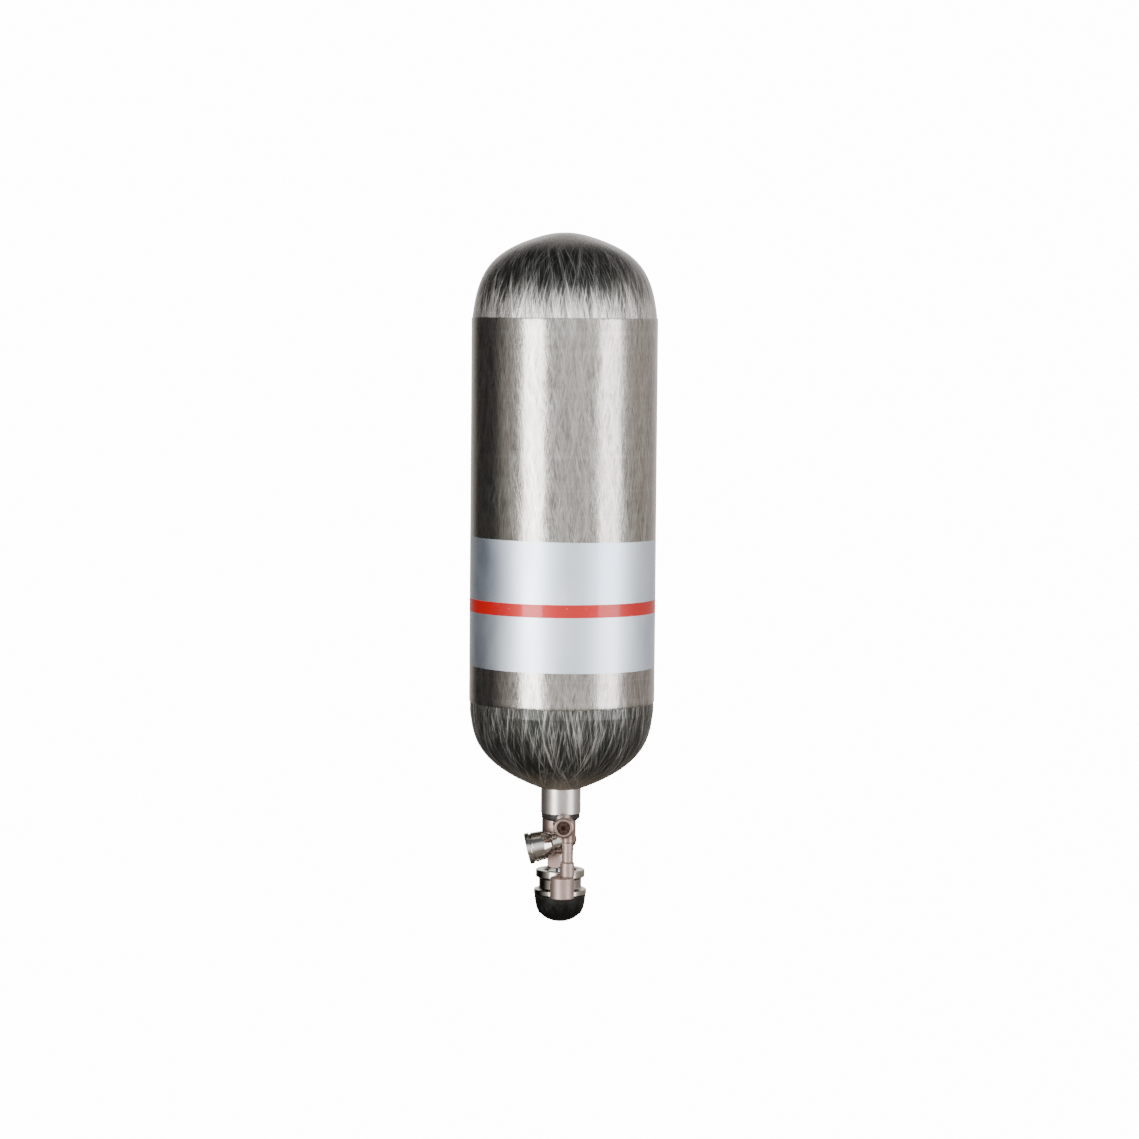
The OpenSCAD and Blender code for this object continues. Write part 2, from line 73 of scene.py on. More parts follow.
# ---------------------------------------------------------------- shader building
class Nodes:
    """Makes nodes by short calls. Each argument is a socket or a plain value."""

    def __init__(self, tree):
        self.tree = tree

    def add(self, kind, **settings):
        node = self.tree.nodes.new(kind)
        for key, value in settings.items():
            setattr(node, key, value)
        return node

    def put(self, socket, value):
        if isinstance(value, bpy.types.NodeSocket):
            self.tree.links.new(value, socket)
        elif value is not None:
            socket.default_value = value

    def math(self, op, a, b=None, c=None):
        node = self.add("ShaderNodeMath", operation=op)
        for socket, value in zip(node.inputs, (a, b, c)):
            self.put(socket, value)
        return node.outputs[0]

    def vector(self, op, a, b=None):
        node = self.add("ShaderNodeVectorMath", operation=op)
        self.put(node.inputs[0], a)
        self.put(node.inputs[1], b)
        return node.outputs["Vector"]

    def place(self):
        return self.add("ShaderNodeTexCoord").outputs["Object"]

    def split(self, vector):
        node = self.add("ShaderNodeSeparateXYZ")
        self.put(node.inputs[0], vector)
        return node.outputs

    def join(self, x, y, z):
        node = self.add("ShaderNodeCombineXYZ")
        for socket, value in zip(node.inputs, (x, y, z)):
            self.put(socket, value)
        return node.outputs[0]

    def stretch(self, vector, x, y, z):
        return self.vector("MULTIPLY", vector, (x, y, z))

    def noise(self, vector, scale, detail=2.0, rough=0.5):
        node = self.add("ShaderNodeTexNoise")
        self.put(node.inputs["Vector"], vector)
        self.put(node.inputs["Scale"], scale)
        self.put(node.inputs["Detail"], detail)
        self.put(node.inputs["Roughness"], rough)
        return node.outputs["Fac"]

    def random(self, value):
        node = self.add("ShaderNodeTexWhiteNoise", noise_dimensions="1D")
        self.put(node.inputs["W"], value)
        return node.outputs["Value"]

    def span(self, value, low, high, to_low=0.0, to_high=1.0):
        """Maps low..high smoothly to to_low..to_high."""
        node = self.add("ShaderNodeMapRange", interpolation_type="SMOOTHSTEP")
        for socket, v in zip(node.inputs, (value, low, high, to_low, to_high)):
            self.put(socket, v)
        return node.outputs[0]

    def ramp(self, value, stops):
        node = self.add("ShaderNodeValToRGB")
        band = node.color_ramp
        while len(band.elements) < len(stops):
            band.elements.new(0.5)
        for element, (at, colour) in zip(band.elements, stops):
            element.position = at
            element.color = (*colour, 1.0)
        self.put(node.inputs[0], value)
        return node.outputs[0]

    def mix(self, fac, a, b, blend="MIX"):
        node = self.add("ShaderNodeMix", data_type="RGBA", blend_type=blend)
        self.put(node.inputs[0], fac)
        for socket, value in ((node.inputs[6], a), (node.inputs[7], b)):
            self.put(socket, (*value, 1.0) if isinstance(value, tuple) else value)
        return node.outputs[2]

    def attribute(self, name):
        return self.add("ShaderNodeAttribute", attribute_name=name).outputs["Fac"]

    def bump(self, height, distance, strength=1.0, normal=None):
        node = self.add("ShaderNodeBump")
        self.put(node.inputs["Height"], height)
        self.put(node.inputs["Distance"], distance)
        self.put(node.inputs["Strength"], strength)
        self.put(node.inputs["Normal"], normal)
        return node.outputs["Normal"]


class Shader(Nodes):
    """A new material with one Principled shader."""

    def __init__(self, name):
        self.material = bpy.data.materials.new(name)
        self.material.use_nodes = True
        super().__init__(self.material.node_tree)
        self.tree.nodes.clear()
        out = self.add("ShaderNodeOutputMaterial")
        self.surface = self.add("ShaderNodeBsdfPrincipled")
        self.tree.links.new(self.surface.outputs["BSDF"], out.inputs["Surface"])

    def set(self, **inputs):
        """Sets the shader's sockets by name, with _ for a space."""
        for key, value in inputs.items():
            self.put(self.surface.inputs[key.replace("_", " ")], value)


# ---------------------------------------------------------------- meshes
def linked(name, data):
    """A new object in the scene."""
    obj = bpy.data.objects.new(name, data)
    bpy.context.scene.collection.objects.link(obj)
    return obj


def make(name, verts, faces, material):
    """A new object from points in metres and faces, with its normals turned outwards."""
    mesh = bpy.data.meshes.new(name)
    mesh.from_pydata([tuple(v) for v in verts], [], faces)
    work = bmesh.new()
    work.from_mesh(mesh)
    bmesh.ops.recalc_face_normals(work, faces=work.faces)
    work.to_mesh(mesh)
    work.free()
    mesh.materials.append(material)
    return linked(name, mesh)


def smooth(obj, angle=34.0):
    """Smooth shading, with edges sharper than the angle kept crisp."""
    obj.data.shade_smooth()
    obj.data.set_sharp_from_angle(angle=math.radians(angle))
    fix = obj.modifiers.new("normals", "WEIGHTED_NORMAL")
    fix.keep_sharp = True
    return obj


def rounded(points, radius, steps=4):
    """The closed outline with each corner replaced by a small arc. Corners on the axis stay."""
    out, n = [], len(points)
    for i, p in enumerate(points):
        a, b, c = Vector(points[i - 1]), Vector(p), Vector(points[(i + 1) % n])
        before, after = (a - b), (c - b)
        reach = min(radius, before.length * 0.45, after.length * 0.45)
        if b.x < 1e-6 or reach < 1e-6 or before.angle(after) > math.radians(172):
            out.append(tuple(b))
            continue
        start, end = b + before.normalized() * reach, b + after.normalized() * reach
        for k in range(steps + 1):
            t = k / steps
            out.append(tuple((1 - t) ** 2 * start + 2 * t * (1 - t) * b + t * t * end))
    return out


def turned(outline, segments, warp=None):
    """Points and faces of a closed (r, z) outline turned about Z. warp(r, z, angle, index) may
    move a point. Returns points, faces and each point's index in the outline."""
    verts, index, ring = [], [], []
    for i, (r, z) in enumerate(outline):
        if r < 1e-7:
            ring.append([len(verts)] * segments)
            verts.append((0.0, 0.0, z))
            index.append(i)
            continue
        ring.append(list(range(len(verts), len(verts) + segments)))
        for k in range(segments):
            a = 2 * math.pi * k / segments
            rr, zz = warp(r, z, a, i) if warp else (r, z)
            verts.append((rr * math.cos(a), rr * math.sin(a), zz))
            index.append(i)
    faces = []
    for i in range(len(outline)):
        low, high = ring[i], ring[(i + 1) % len(outline)]
        for k in range(segments):
            m = (k + 1) % segments
            corners = [low[k], low[m], high[m], high[k]]
            face = [c for j, c in enumerate(corners) if c not in corners[:j]]
            if len(face) > 2:
                faces.append(face)
    return verts, faces, index


def lathe(name, outline, material, segments, radius, place=None, warp=None):
    """A turned piece. The outline and the radius of its corners are in millimetres; place is
    the piece's matrix in the frame."""
    points = rounded(outline, radius) if radius else outline
    verts, faces, _ = turned([(r * MM, z * MM) for r, z in points], segments, warp)
    if place is not None:
        verts = [place @ Vector(v) for v in verts]
    return smooth(make(name, verts, faces, material))


def settle(obj, body, slot, *nodes):
    """Puts a finished piece on its body, in place of its CAD nodes."""
    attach(obj, body)
    if nodes:
        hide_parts(*nodes)
    return obj


def centre(node):
    low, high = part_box(node)
    return (low + high) / 2


def store(obj, index, **values):
    """Keeps a number for each of the outline's points on the mesh, under each name."""
    for name, numbers in values.items():
        data = obj.data.attributes.new(name, "FLOAT", "POINT")
        data.data.foreach_set("value", [numbers[i] for i in index])


def dense(outline, pieces):
    """The outline with each side cut into pieces(start, end) equal parts."""
    out = []
    for a, b in zip(outline, outline[1:] + outline[:1]):
        count = pieces(a, b)
        out += [tuple(Vector(a).lerp(Vector(b), k / count)) for k in range(count)]
    return out


# ---------------------------------------------------------------- the wound skin
def curve(a, b, c, d):
    """A cubic Bezier curve from a to d."""
    t = np.linspace(0, 1, 73)[:, None]
    a, b, c, d = (np.array(p) for p in (a, b, c, d))
    return (1 - t) ** 3 * a + 3 * (1 - t) ** 2 * t * b + 3 * (1 - t) * t * t * c + t ** 3 * d


def dome_outline(r, h):
    """From the wall's upper end to the rounded pole."""
    p = curve((r, WRAP_TOP), (0.94 * r, WRAP_TOP + 0.615 * h), (0.745 * r, WRAP_TOP + 0.82 * h),
              (0, WRAP_TOP + h))
    wide, slope = BLUNT_WIDE * r, BLUNT_SLOPE * h / r
    inside = p[:, 0] < wide
    p[inside, 1] -= slope * wide / 2 * (1 - p[inside, 0] / wide) ** 2
    return p


def shoulder_outline(r, h, end):
    """The bare wall below the hoop wrap, then the curve down to the neck."""
    top = SHOULDER_TOP
    wall = [(r, z) for z in np.linspace(WRAP_FOOT, top, 8)[:-1]]
    bend = curve((r, top), (0.963 * r, top - 0.28 * h), (0.975 * r, top - 0.67 * h),
                 (end, top - h))
    return np.concatenate([np.array(wall), bend])


def winding(outline, start, sign):
    """Distance along the outline and the helical tows' turn about the axis, point by point."""
    along, turn = [start], [start * TURN_RATE]
    for (r0, z0), (r1, z1) in zip(outline[:-1], outline[1:]):
        step = math.hypot(r1 - r0, z1 - z0)
        r = max((r0 + r1) / 2, 1.06 * POLE_R)
        along.append(along[-1] + sign * step)
        turn.append(turn[-1] + sign * step * POLE_R / math.sqrt(r * r - POLE_R ** 2) / r)
    return along, turn


def tow_relief(angle, turn, seed):
    """Height, from 0 to 1, of the outermost tows at an angle round the skin."""
    lift = 0.0
    for side in (-1, 1):
        band = TOWS * (angle + side * turn) / (2 * math.pi)
        k = math.floor(band)
        level = 0.5 + 0.5 * math.sin(12.9898 * (k % TOWS) + seed + 5.3 * side)
        lift = max(lift, level * (1 - abs(2 * (band - k) - 1) ** 6))
    return lift


def wound_skin(name, outer, inner, start, sign, material):
    """One end of the overwrap: a closed shell whose outside carries the tows' low relief."""
    outline = [tuple(p) for p in outer] + [tuple(p) for p in inner[::-1]]
    along, turn = winding([tuple(p) for p in outer], start, sign)
    count, relief = len(outer), 0.22 * MM

    def raised(r, z, angle, i):
        if i >= count or i == 0:
            return r, z
        fade = min(1.0, i / 6) * min(1.0, max(0.0, (r - 0.3 * POLE_R) / POLE_R))
        return r - relief * fade * (1 - tow_relief(angle, turn[i], start)), z

    verts, faces, index = turned(outline, 400, raised)
    obj = smooth(make(name, verts, faces, material), 50)
    store(obj, [min(i, count - 1) for i in index], along=along, turn=turn)
    return obj


def tow_family(s, side, length):
    """One family of tows, leaning to one side: its lightness, its bands' rounded height and its
    fine streaks. A greater length draws the streaks out along the tows."""
    place, along, turn = s.place(), s.attribute("along"), s.attribute("turn")
    spin = s.add("ShaderNodeVectorRotate", rotation_type="Z_AXIS")
    s.put(spin.inputs["Vector"], place)
    s.put(spin.inputs["Angle"], s.math("MULTIPLY", turn, side))
    x, y, _ = s.split(spin.outputs[0])
    fx, fy, _ = s.split(s.vector("NORMALIZE", s.join(x, y, 0.0)))
    wound = s.join(fx, fy, s.math("ADD", along, 0.4 * side))
    band = s.math("MULTIPLY", s.math("ARCTAN2", y, x), TOWS / (2 * math.pi))
    inside = s.math("MULTIPLY_ADD", s.math("FRACT", band), 2.0, -1.0)
    edge = s.math("POWER", s.math("ABSOLUTE", inside), 6.0)
    tone = s.random(s.math("ADD", s.math("FLOOR", band), 31.0 * side))
    broad = s.noise(s.stretch(wound, 1.0, 1.0, 1.5 / length), 30.0, 2.0, 0.5)
    streak = s.noise(s.stretch(wound, 1.0, 1.0, 1.0 / length), 84.0, 2.0, 0.55)
    fine = s.noise(s.stretch(wound, 1.0, 1.0, 0.8 / length), 260.0, 2.0, 0.6)
    value = s.math("MULTIPLY_ADD", broad, 0.30, s.math("MULTIPLY", streak, 0.45))
    value = s.math("ADD", value,
                   s.math("MULTIPLY_ADD", fine, 0.28, s.math("MULTIPLY", tone, 0.08)))
    return value, s.math("SUBTRACT", 1.0, edge), fine


def tow_pattern(s, length):
    """Both families of helical tows, crossing: lightness, height, fine streaks, and the
    distance along the outline."""
    a, high_a, fine_a = tow_family(s, -1.0, length)
    b, high_b, fine_b = tow_family(s, 1.0, length)
    over = s.math("MAXIMUM", a, b)
    value = s.math("MULTIPLY_ADD", over, 0.7, s.math("MULTIPLY", s.math("ADD", a, b), 0.15))
    weave = s.math("MAXIMUM", s.math("MULTIPLY", high_a, a), s.math("MULTIPLY", high_b, b))
    return value, weave, s.math("MAXIMUM", fine_a, fine_b), s.attribute("along")


def around(s):
    """The tangent that runs round the cylinder, for finishes that stretch highlights."""
    return s.add("ShaderNodeTangent", direction_type="RADIAL", axis="Z").outputs[0]


def carbon_material():
    """Dark tows under clear resin, with light streaks towards the poles, which are painted
    reflections
    of tows catching the light: a pale band above the hoop wrap, also a painted reflection, a pale
    cap on top, and a duller lower end, brownish at the neck."""
    s = Shader("carbon_winding")
    value, weave, fine, along = tow_pattern(s, 2.2)
    past = s.math("SUBTRACT", s.math("ABSOLUTE", along), WRAP_TOP)
    upper = s.span(along, 0.0, 0.01)
    ragged = s.math("MULTIPLY_ADD", value, 60 * MM, -34 * MM)
    # Painted reflection: a ragged band of the dome just above the hoop wrap is lightened, as if it
    # caught the lamps.
    painted_reflection_band = s.span(s.math("SUBTRACT", past, ragged), 4 * MM, 34 * MM, 1.0, 0.0)
    painted_reflection_band = s.math("MULTIPLY", painted_reflection_band, upper)
    polar = s.math("MULTIPLY", s.span(past, 66 * MM, 100 * MM), upper)
    level = s.math("MULTIPLY_ADD", painted_reflection_band, 0.115, s.math("MULTIPLY_ADD", value, 1.15, -0.115))
    level = s.math("SUBTRACT", level, s.math("MULTIPLY_ADD", upper, -0.012, 0.012))
    # The ramp's light stops are painted reflections of tows catching the light, laid on the tows'
    # own dark pattern.
    tone = s.ramp(level, [(0.49, (0.018, 0.020, 0.017)), (0.555, (0.090, 0.092, 0.086)),
                          (0.63, (0.37, 0.36, 0.34)), (0.72, (0.84, 0.80, 0.78))])
    rings = s.noise(s.join(0.0, 0.0, along), 420.0, 2.0, 0.6)
    cap = s.ramp(s.math("MULTIPLY_ADD", rings, 0.5, s.math("MULTIPLY", fine, 0.4)),
                 [(0.3, (0.42, 0.385, 0.345)), (0.7, (0.84, 0.79, 0.73))])
    colour = s.mix(s.math("MULTIPLY", polar, 0.9), tone, cap)
    grime = s.span(s.noise(s.place(), 38.0, 4.0, 0.6), 0.4, 0.75, 0.0, 0.35)
    warm = s.math("MULTIPLY", s.math("SUBTRACT", 1.0, upper), s.span(past, 60 * MM, 110 * MM))
    colour = s.mix(grime, colour, (0.05, 0.045, 0.038))
    colour = s.mix(s.math("MULTIPLY", warm, 0.6), colour, (0.30, 0.25, 0.18))
    dull = s.math("MULTIPLY_ADD", upper, -0.20, 0.33)
    s.set(Base_Color=colour, Metallic=0.75, Roughness=s.math("MULTIPLY_ADD", fine, 0.25, dull),
          Coat_Weight=s.math("MULTIPLY_ADD", upper, 0.6, 0.2), Coat_Roughness=0.08, Coat_IOR=1.5)
    lumps = s.bump(value, 0.8 * MM, 0.8)
    s.set(Normal=s.bump(weave, 0.25 * MM, 0.6, lumps))
    return s.material


def hoop_material():
    """Clear glass-fibre hoops over the tows: silver-grey, with faint winding lines."""
    s = Shader("hoop_winding")
    value, weave, fine, along = tow_pattern(s, 1.0)
    lines = s.noise(s.join(0.0, 0.0, along), 900.0, 3.0, 0.7)
    turns = s.noise(s.join(0.0, 0.0, along), 160.0, 2.0, 0.6)
    tone = s.ramp(value, [(0.48, (0.155, 0.145, 0.13)), (0.555, (0.325, 0.31, 0.285)),
                          (0.62, (0.47, 0.455, 0.43)), (0.72, (0.76, 0.74, 0.715))])
    clouds = s.noise(s.stretch(s.place(), 1.0, 1.0, 0.5), 26.0, 3.0, 0.6)
    tone = s.mix(s.span(clouds, 0.4, 0.7, 0.0, 0.42), tone, (0.36, 0.30, 0.29))
    resin = s.noise(s.stretch(s.place(), 1.0, 1.0, 0.6), 58.0, 3.0, 0.6)
    tone = s.mix(s.span(resin, 0.5, 0.68, 0.0, 0.35), tone, (0.44, 0.45, 0.39))
    tone = s.mix(s.span(turns, 0.5, 0.7, 0.0, 0.18), tone, (0.60, 0.60, 0.59))
    s.set(Base_Color=tone, Metallic=0.94, Roughness=s.math("MULTIPLY_ADD", value, 0.25, 0.09),
          Anisotropic=0.7, Anisotropic_Rotation=0.25, Tangent=around(s),
          Coat_Weight=0.6, Coat_Roughness=0.07, Coat_IOR=1.5)
    fibres = s.bump(value, 0.25 * MM, 0.5)
    s.set(Normal=s.bump(lines, 0.06 * MM, 0.5, fibres))
    s.set(Coat_Normal=s.bump(s.math("ADD", lines, s.math("MULTIPLY", turns, 2.0)), 0.04 * MM, 0.5))
    return s.material


def overwrap():
    """The carbon overwrap's two wound ends, as two pieces; the wall under the hoop wrap is not
    built.
    """
    material = carbon_material()
    height = SKIN_HI.z - WRAP_TOP + BLUNT_SLOPE * BLUNT_WIDE / 2 * DOME_H
    outer = dome_outline(SKIN_R, height)
    inner = dome_outline(SKIN_R - 3 * MM, height - 6 * MM)
    top = wound_skin("overwrap_dome", outer, inner, WRAP_TOP, 1, material)
    low = shoulder_outline(SKIN_R, SHOULDER_H, NECK_R + 0.8 * MM)
    low_in = shoulder_outline(SKIN_R - 3 * MM, SHOULDER_H - 3 * MM, NECK_R + 0.1 * MM)
    foot = wound_skin("overwrap_shoulder", low, low_in, WRAP_FOOT, -1, material)
    settle(top, "root", "carbon", "carbon_overwrap")
    settle(foot, "root", "carbon", "carbon_overwrap")


def hoop_wrap():
    """The hoop wrap: a tube with rounded ends and fine winding ridges."""
    deep, high = SKIN_R / MM - 0.05, WRAP_TOP / MM
    face = WRAP_R / MM - 0.06
    steps = np.linspace(WRAP_FOOT / MM + 1.2, WRAP_TOP / MM - 1.2, 190)
    outer = [(face, z) for z in steps]
    outline = [(deep, -high), (face - 0.35, -high), *outer, (face - 0.35, high), (deep, high)]
    ridge, spacing = 0.018 * MM, 1.9 * MM

    def wound(r, z, angle, i):
        if 2 <= i < len(outline) - 3:
            drift = 0.5 * math.sin(z * 61) + 0.4 * math.sin(angle * 3)
            r += ridge * math.sin(z / spacing + drift)
        return r, z

    verts, faces, index = turned([(r * MM, z * MM) for r, z in outline], 384, wound)
    obj = smooth(make("hoop_wrap", verts, faces, hoop_material()), 50)
    heights = [z * MM for _, z in outline]
    store(obj, index, along=heights, turn=[h * TURN_RATE for h in heights])
    settle(obj, "root", "glass_wrap", "glass_hoop_wrap")


def label_material():
    """A satin silver film under the clear coat, with a plain red stripe."""
    s = Shader("label_film")
    place = s.place()
    _, _, z = s.split(place)
    brushed = s.noise(s.stretch(place, 1.0, 1.0, 0.12), 60.0, 3.0, 0.6)
    cloud = s.noise(s.stretch(place, 1.0, 1.0, 0.6), 22.0, 3.0, 0.55)
    film = s.ramp(s.math("MULTIPLY_ADD", brushed, 0.5, s.math("MULTIPLY", cloud, 0.5)),
                  [(0.32, (0.70, 0.81, 1.0)), (0.5, (0.79, 0.88, 1.0)), (0.7, (0.88, 0.94, 1.0))])
    middle = (LABEL_LO.z + LABEL_HI.z) / 2 - 3 * MM
    ragged = s.math("MULTIPLY", s.math("SUBTRACT", s.noise(place, 900.0), 0.5), 0.3 * MM)
    off = s.math("ABSOLUTE", s.math("SUBTRACT", s.math("ADD", z, ragged), middle))
    stripe = s.span(off, 5.9 * MM, 6.1 * MM, 1.0, 0.0)
    scuff = s.span(s.noise(s.stretch(place, 1, 1, 3), 160.0, 4.0, 0.7), 0.66, 0.72)
    ink = s.math("MULTIPLY", stripe, s.math("MULTIPLY_ADD", scuff, -0.35, 1.0))
    s.set(Base_Color=s.mix(ink, film, (0.55, 0.004, 0.004)),
          Metallic=s.math("MULTIPLY_ADD", ink, -0.7, 1.0),
          Roughness=s.math("MULTIPLY_ADD", cloud, 0.2, 0.36), Coat_Weight=0.5, Coat_Roughness=0.08)
    s.set(Normal=s.bump(s.math("ADD", brushed, cloud), 0.12 * MM, 0.5))
    return s.material


def label():
    """The label band, laid very slightly askew as a hand-applied label is."""
    low, high = LABEL_LO.z / MM, LABEL_HI.z / MM
    edge = WRAP_R / MM
    outline = [(edge - 0.1, low), (edge - 0.02, low), (edge, low + 0.3), (edge, high - 0.3),
               (edge - 0.02, high), (edge - 0.1, high)]
    skew = 1.1 * MM

    def askew(r, z, angle, i):
        upper = z > (LABEL_LO.z + LABEL_HI.z) / 2
        return r, z - (skew if upper else 0.5 * skew) * math.cos(angle)

    obj = lathe("label", outline, label_material(), 384, 0, warp=askew)
    settle(obj, "root", "label", "label_band")


# ---------------------------------------------------------------- metals, rubber and the rest
def metal_material(name, colour, rough, grain=0.15, dark=0.35, dents=0.05, wear=0.2, solid=1.0):
    """Bare or plated metal: fine grain, faint stains and handling marks."""
    s = Shader(name)
    place = s.place()
    cloud = s.noise(place, 90.0, 4.0, 0.6)
    speck = s.noise(place, 1400.0, 3.0, 0.7)
    marks = s.span(s.noise(s.stretch(place, 1.0, 3.5, 0.6), 420.0, 3.0, 0.7), 0.60, 0.72)
    shade = tuple(c * (1 - dark) for c in colour)
    tone = s.mix(s.span(cloud, 0.35, 0.7, 0.0, wear * 2), colour, shade)
    tone = s.mix(s.math("MULTIPLY", marks, wear), tone, tuple(min(1, c * 1.25) for c in colour))
    s.set(Base_Color=tone, Metallic=solid)
    s.set(Roughness=s.math("ADD", s.math("MULTIPLY_ADD", cloud, grain, rough - grain / 2),
                           s.math("MULTIPLY", marks, 0.08)))
    s.set(Normal=s.bump(s.math("MULTIPLY_ADD", speck, 0.4, cloud), dents * MM, 0.6))
    return s.material


def turned_material(name, colour, rough, solid):
    """Lathe-turned metal: fine rings about the piece's own axis."""
    s = Shader(name)
    place = s.place()
    _, _, z = s.split(place)
    ring = s.noise(s.join(0.0, 0.0, z), 2200.0, 3.0, 0.7)
    cloud = s.noise(place, 120.0, 4.0, 0.6)
    stain = s.span(cloud, 0.4, 0.7, 0.0, 0.45)
    s.set(Base_Color=s.mix(stain, colour, tuple(c * 0.78 for c in colour)), Metallic=solid)
    blur = s.math("MULTIPLY_ADD", cloud, 0.10, rough - 0.08)
    s.set(Roughness=s.math("MULTIPLY_ADD", ring, 0.10, blur))
    s.set(Normal=s.bump(ring, 0.012 * MM, 0.6))
    return s.material


def rubber_and_painted_shade_material(name, tone, rough):
    """Black rubber with fine pores and a trace of dust; for the neck collar, a near-black painted
    shade.
    """
    s = Shader(name)
    place = s.place()
    dust = s.span(s.noise(place, 130.0, 5.0, 0.65), 0.5, 0.75)
    pore = s.noise(place, 2600.0, 3.0, 0.6)
    s.set(Base_Color=s.mix(s.math("MULTIPLY", dust, 0.35), (tone, tone, tone * 0.95),
                           (0.035, 0.031, 0.026)),
          Roughness=s.math("MULTIPLY_ADD", dust, 0.2, rough), Specular_IOR_Level=0.22)
    s.set(Normal=s.bump(pore, 0.03 * MM, 0.6))
    return s.material


def plastic_material(name, colour, rough):
    """Plastic, printed card or paint: faint clouds and a fine grain."""
    s = Shader(name)
    cloud = s.noise(s.place(), 400.0, 3.0, 0.6)
    s.set(Base_Color=s.mix(s.math("MULTIPLY", cloud, 0.3), colour, tuple(c * 0.8 for c in colour)),
          Roughness=s.math("MULTIPLY_ADD", cloud, 0.15, rough))
    s.set(Normal=s.bump(s.noise(s.place(), 3000.0), 0.01 * MM, 0.4))
    return s.material


def lens_material():
    """The gauge's clear window, slightly smeared."""
    s = Shader("gauge_glass")
    smear = s.noise(s.place(), 300.0, 3.0, 0.6)
    s.set(Base_Color=(0.96, 0.98, 1.0, 1.0), Roughness=s.math("MULTIPLY", smear, 0.06),
          Transmission_Weight=1.0, IOR=1.49)
    return s.material


MATERIALS = {}


def materials():
    """Makes the materials that several pieces share."""
    MATERIALS.update(
        nickel=metal_material("nickel_plate", (0.30, 0.212, 0.188), 0.38, 0.2, 0.5, 0.08, 0.25,
                              0.85),
        nickel_turned=turned_material("nickel_turned", (0.40, 0.295, 0.265), 0.45, 0.82),
        plug=metal_material("plug_bronze", (0.07, 0.04, 0.03), 0.42, 0.2, 0.5, 0.08, 0.3, 0.8),
        chrome=metal_material("chrome_plate", (0.66, 0.645, 0.61), 0.14, 0.10, 0.45, 0.03, 0.2),
        wheel=metal_material("wheel_plate", (0.46, 0.425, 0.39), 0.2, 0.14, 0.5, 0.04, 0.25),
        neck=turned_material("neck_alloy", (0.52, 0.48, 0.46), 0.30, 0.9),
        brass=metal_material("brass", (0.72, 0.50, 0.24), 0.3),
        bronze=metal_material("sintered_bronze", (0.50, 0.33, 0.19), 0.5, 0.2, 0.4, 0.2),
        steel=metal_material("spring_steel", (0.55, 0.55, 0.56), 0.25),
        rubber=rubber_and_painted_shade_material("seal_rubber", 0.012, 0.45),
        bumper=rubber_and_painted_shade_material("bumper_rubber", 0.0035, 0.45),
        # The neck collar is near-black: painted shade of the valve's shoulder under the neck.
        collar=rubber_and_painted_shade_material("collar_painted_shade", 0.02, 0.38),
        white=plastic_material("seat_plastic", (0.85, 0.83, 0.76), 0.35),
        dial=plastic_material("dial_card", (0.86, 0.86, 0.83), 0.5),
        black=plastic_material("black_paint", (0.015, 0.015, 0.015), 0.4),
        lens=lens_material(),
    )


# Each CAD node that shows, and its material
CAD_LOOKS = {
    "liner": "neck", "neck_collar": "collar", "neck_o_ring": "rubber",
    "anti_debris_tube": "brass", "inlet_filter": "bronze",
    "burst_disc": "plug", "burst_disc_gasket": "bronze", "burst_disc_plug": "plug",
    "outlet_o_ring": "rubber", "gland_gasket": "rubber", "stem_o_rings": "rubber",
    "thrust_washer": "white", "spindle": "steel", "seat_carrier": "nickel_turned",
    "seat_disc": "white", "spring_washer": "steel", "handwheel_nut": "steel",
    "gauge_o_ring": "rubber", "bourdon_coil": "bronze", "coil_foot": "brass",
    "pointer_shaft": "steel", "gauge_pointer": "black", "gauge_dial": "dial",
    "gauge_lens": "lens", "lens_ring": "nickel_turned",
}


def dress_cad():
    """Gives every CAD node that stays its own material."""
    for name, look in CAD_LOOKS.items():
        slots = NODES[name].material_slots
        if not slots:
            NODES[name].data.materials.append(MATERIALS[look])
        for slot in slots:
            slot.material = MATERIALS[look]


# ---------------------------------------------------------------- the valve, in millimetres
NECK_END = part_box("liner")[0].z / MM
HUB_END = NECK_END - 36
GLAND_TOP, GLAND_END = NECK_END - 29.5, HUB_END - 15
WHEEL_TOP = HUB_END - 17
RIM_Z = WHEEL_TOP - 18.5
BUMPER_Z = RIM_Z - 5
BUMPER_END = WHEEL_TOP - 49
WEB_TOP = WHEEL_TOP - 14.5
BOSS_Z = NECK_END - 8
CASE_TOP = NECK_END - 54.8
CASE_END = CASE_TOP - 20.2
CASE_AT = centre("gauge_case") / MM
STEM_AT = centre("gauge_o_ring") / MM
MOUTH = Vector((-31, -22, NECK_END - 31))
THREAD_PITCH, THREAD_DEPTH = 1.814, 1.16


def upright(x, y):
    return Matrix.Translation((x * MM, y * MM, 0))


def on_outlet():
    """The outlet's frame: its mouth at the origin, +Z out of the mouth."""
    return Matrix.Translation(MOUTH * MM) @ Matrix.Rotation(math.radians(-104), 4, "Y")


def forged_body():
    """The valve body: the CAD's own shape, its edges softened as a forging's are."""
    source = NODES["valve_body"]
    mesh = source.data.copy()
    mesh.transform(source.matrix_world)
    work = bmesh.new()
    work.from_mesh(mesh)
    bmesh.ops.remove_doubles(work, verts=work.verts, dist=0.01 * MM)
    work.to_mesh(mesh)
    work.free()
    rough = linked("body_rough", mesh)
    remesh = rough.modifiers.new("cells", "REMESH")
    remesh.mode, remesh.voxel_size = "VOXEL", 0.4 * MM
    soften = rough.modifiers.new("soften", "SMOOTH")
    soften.factor, soften.iterations = 0.5, 6
    graph = bpy.context.evaluated_depsgraph_get()
    done = bpy.data.meshes.new_from_object(rough.evaluated_get(graph))
    bpy.data.objects.remove(rough)
    done.materials.clear()
    done.materials.append(MATERIALS["nickel"])
    done.shade_smooth()
    settle(linked("forged_body", done), "root", "nickel", "valve_body")


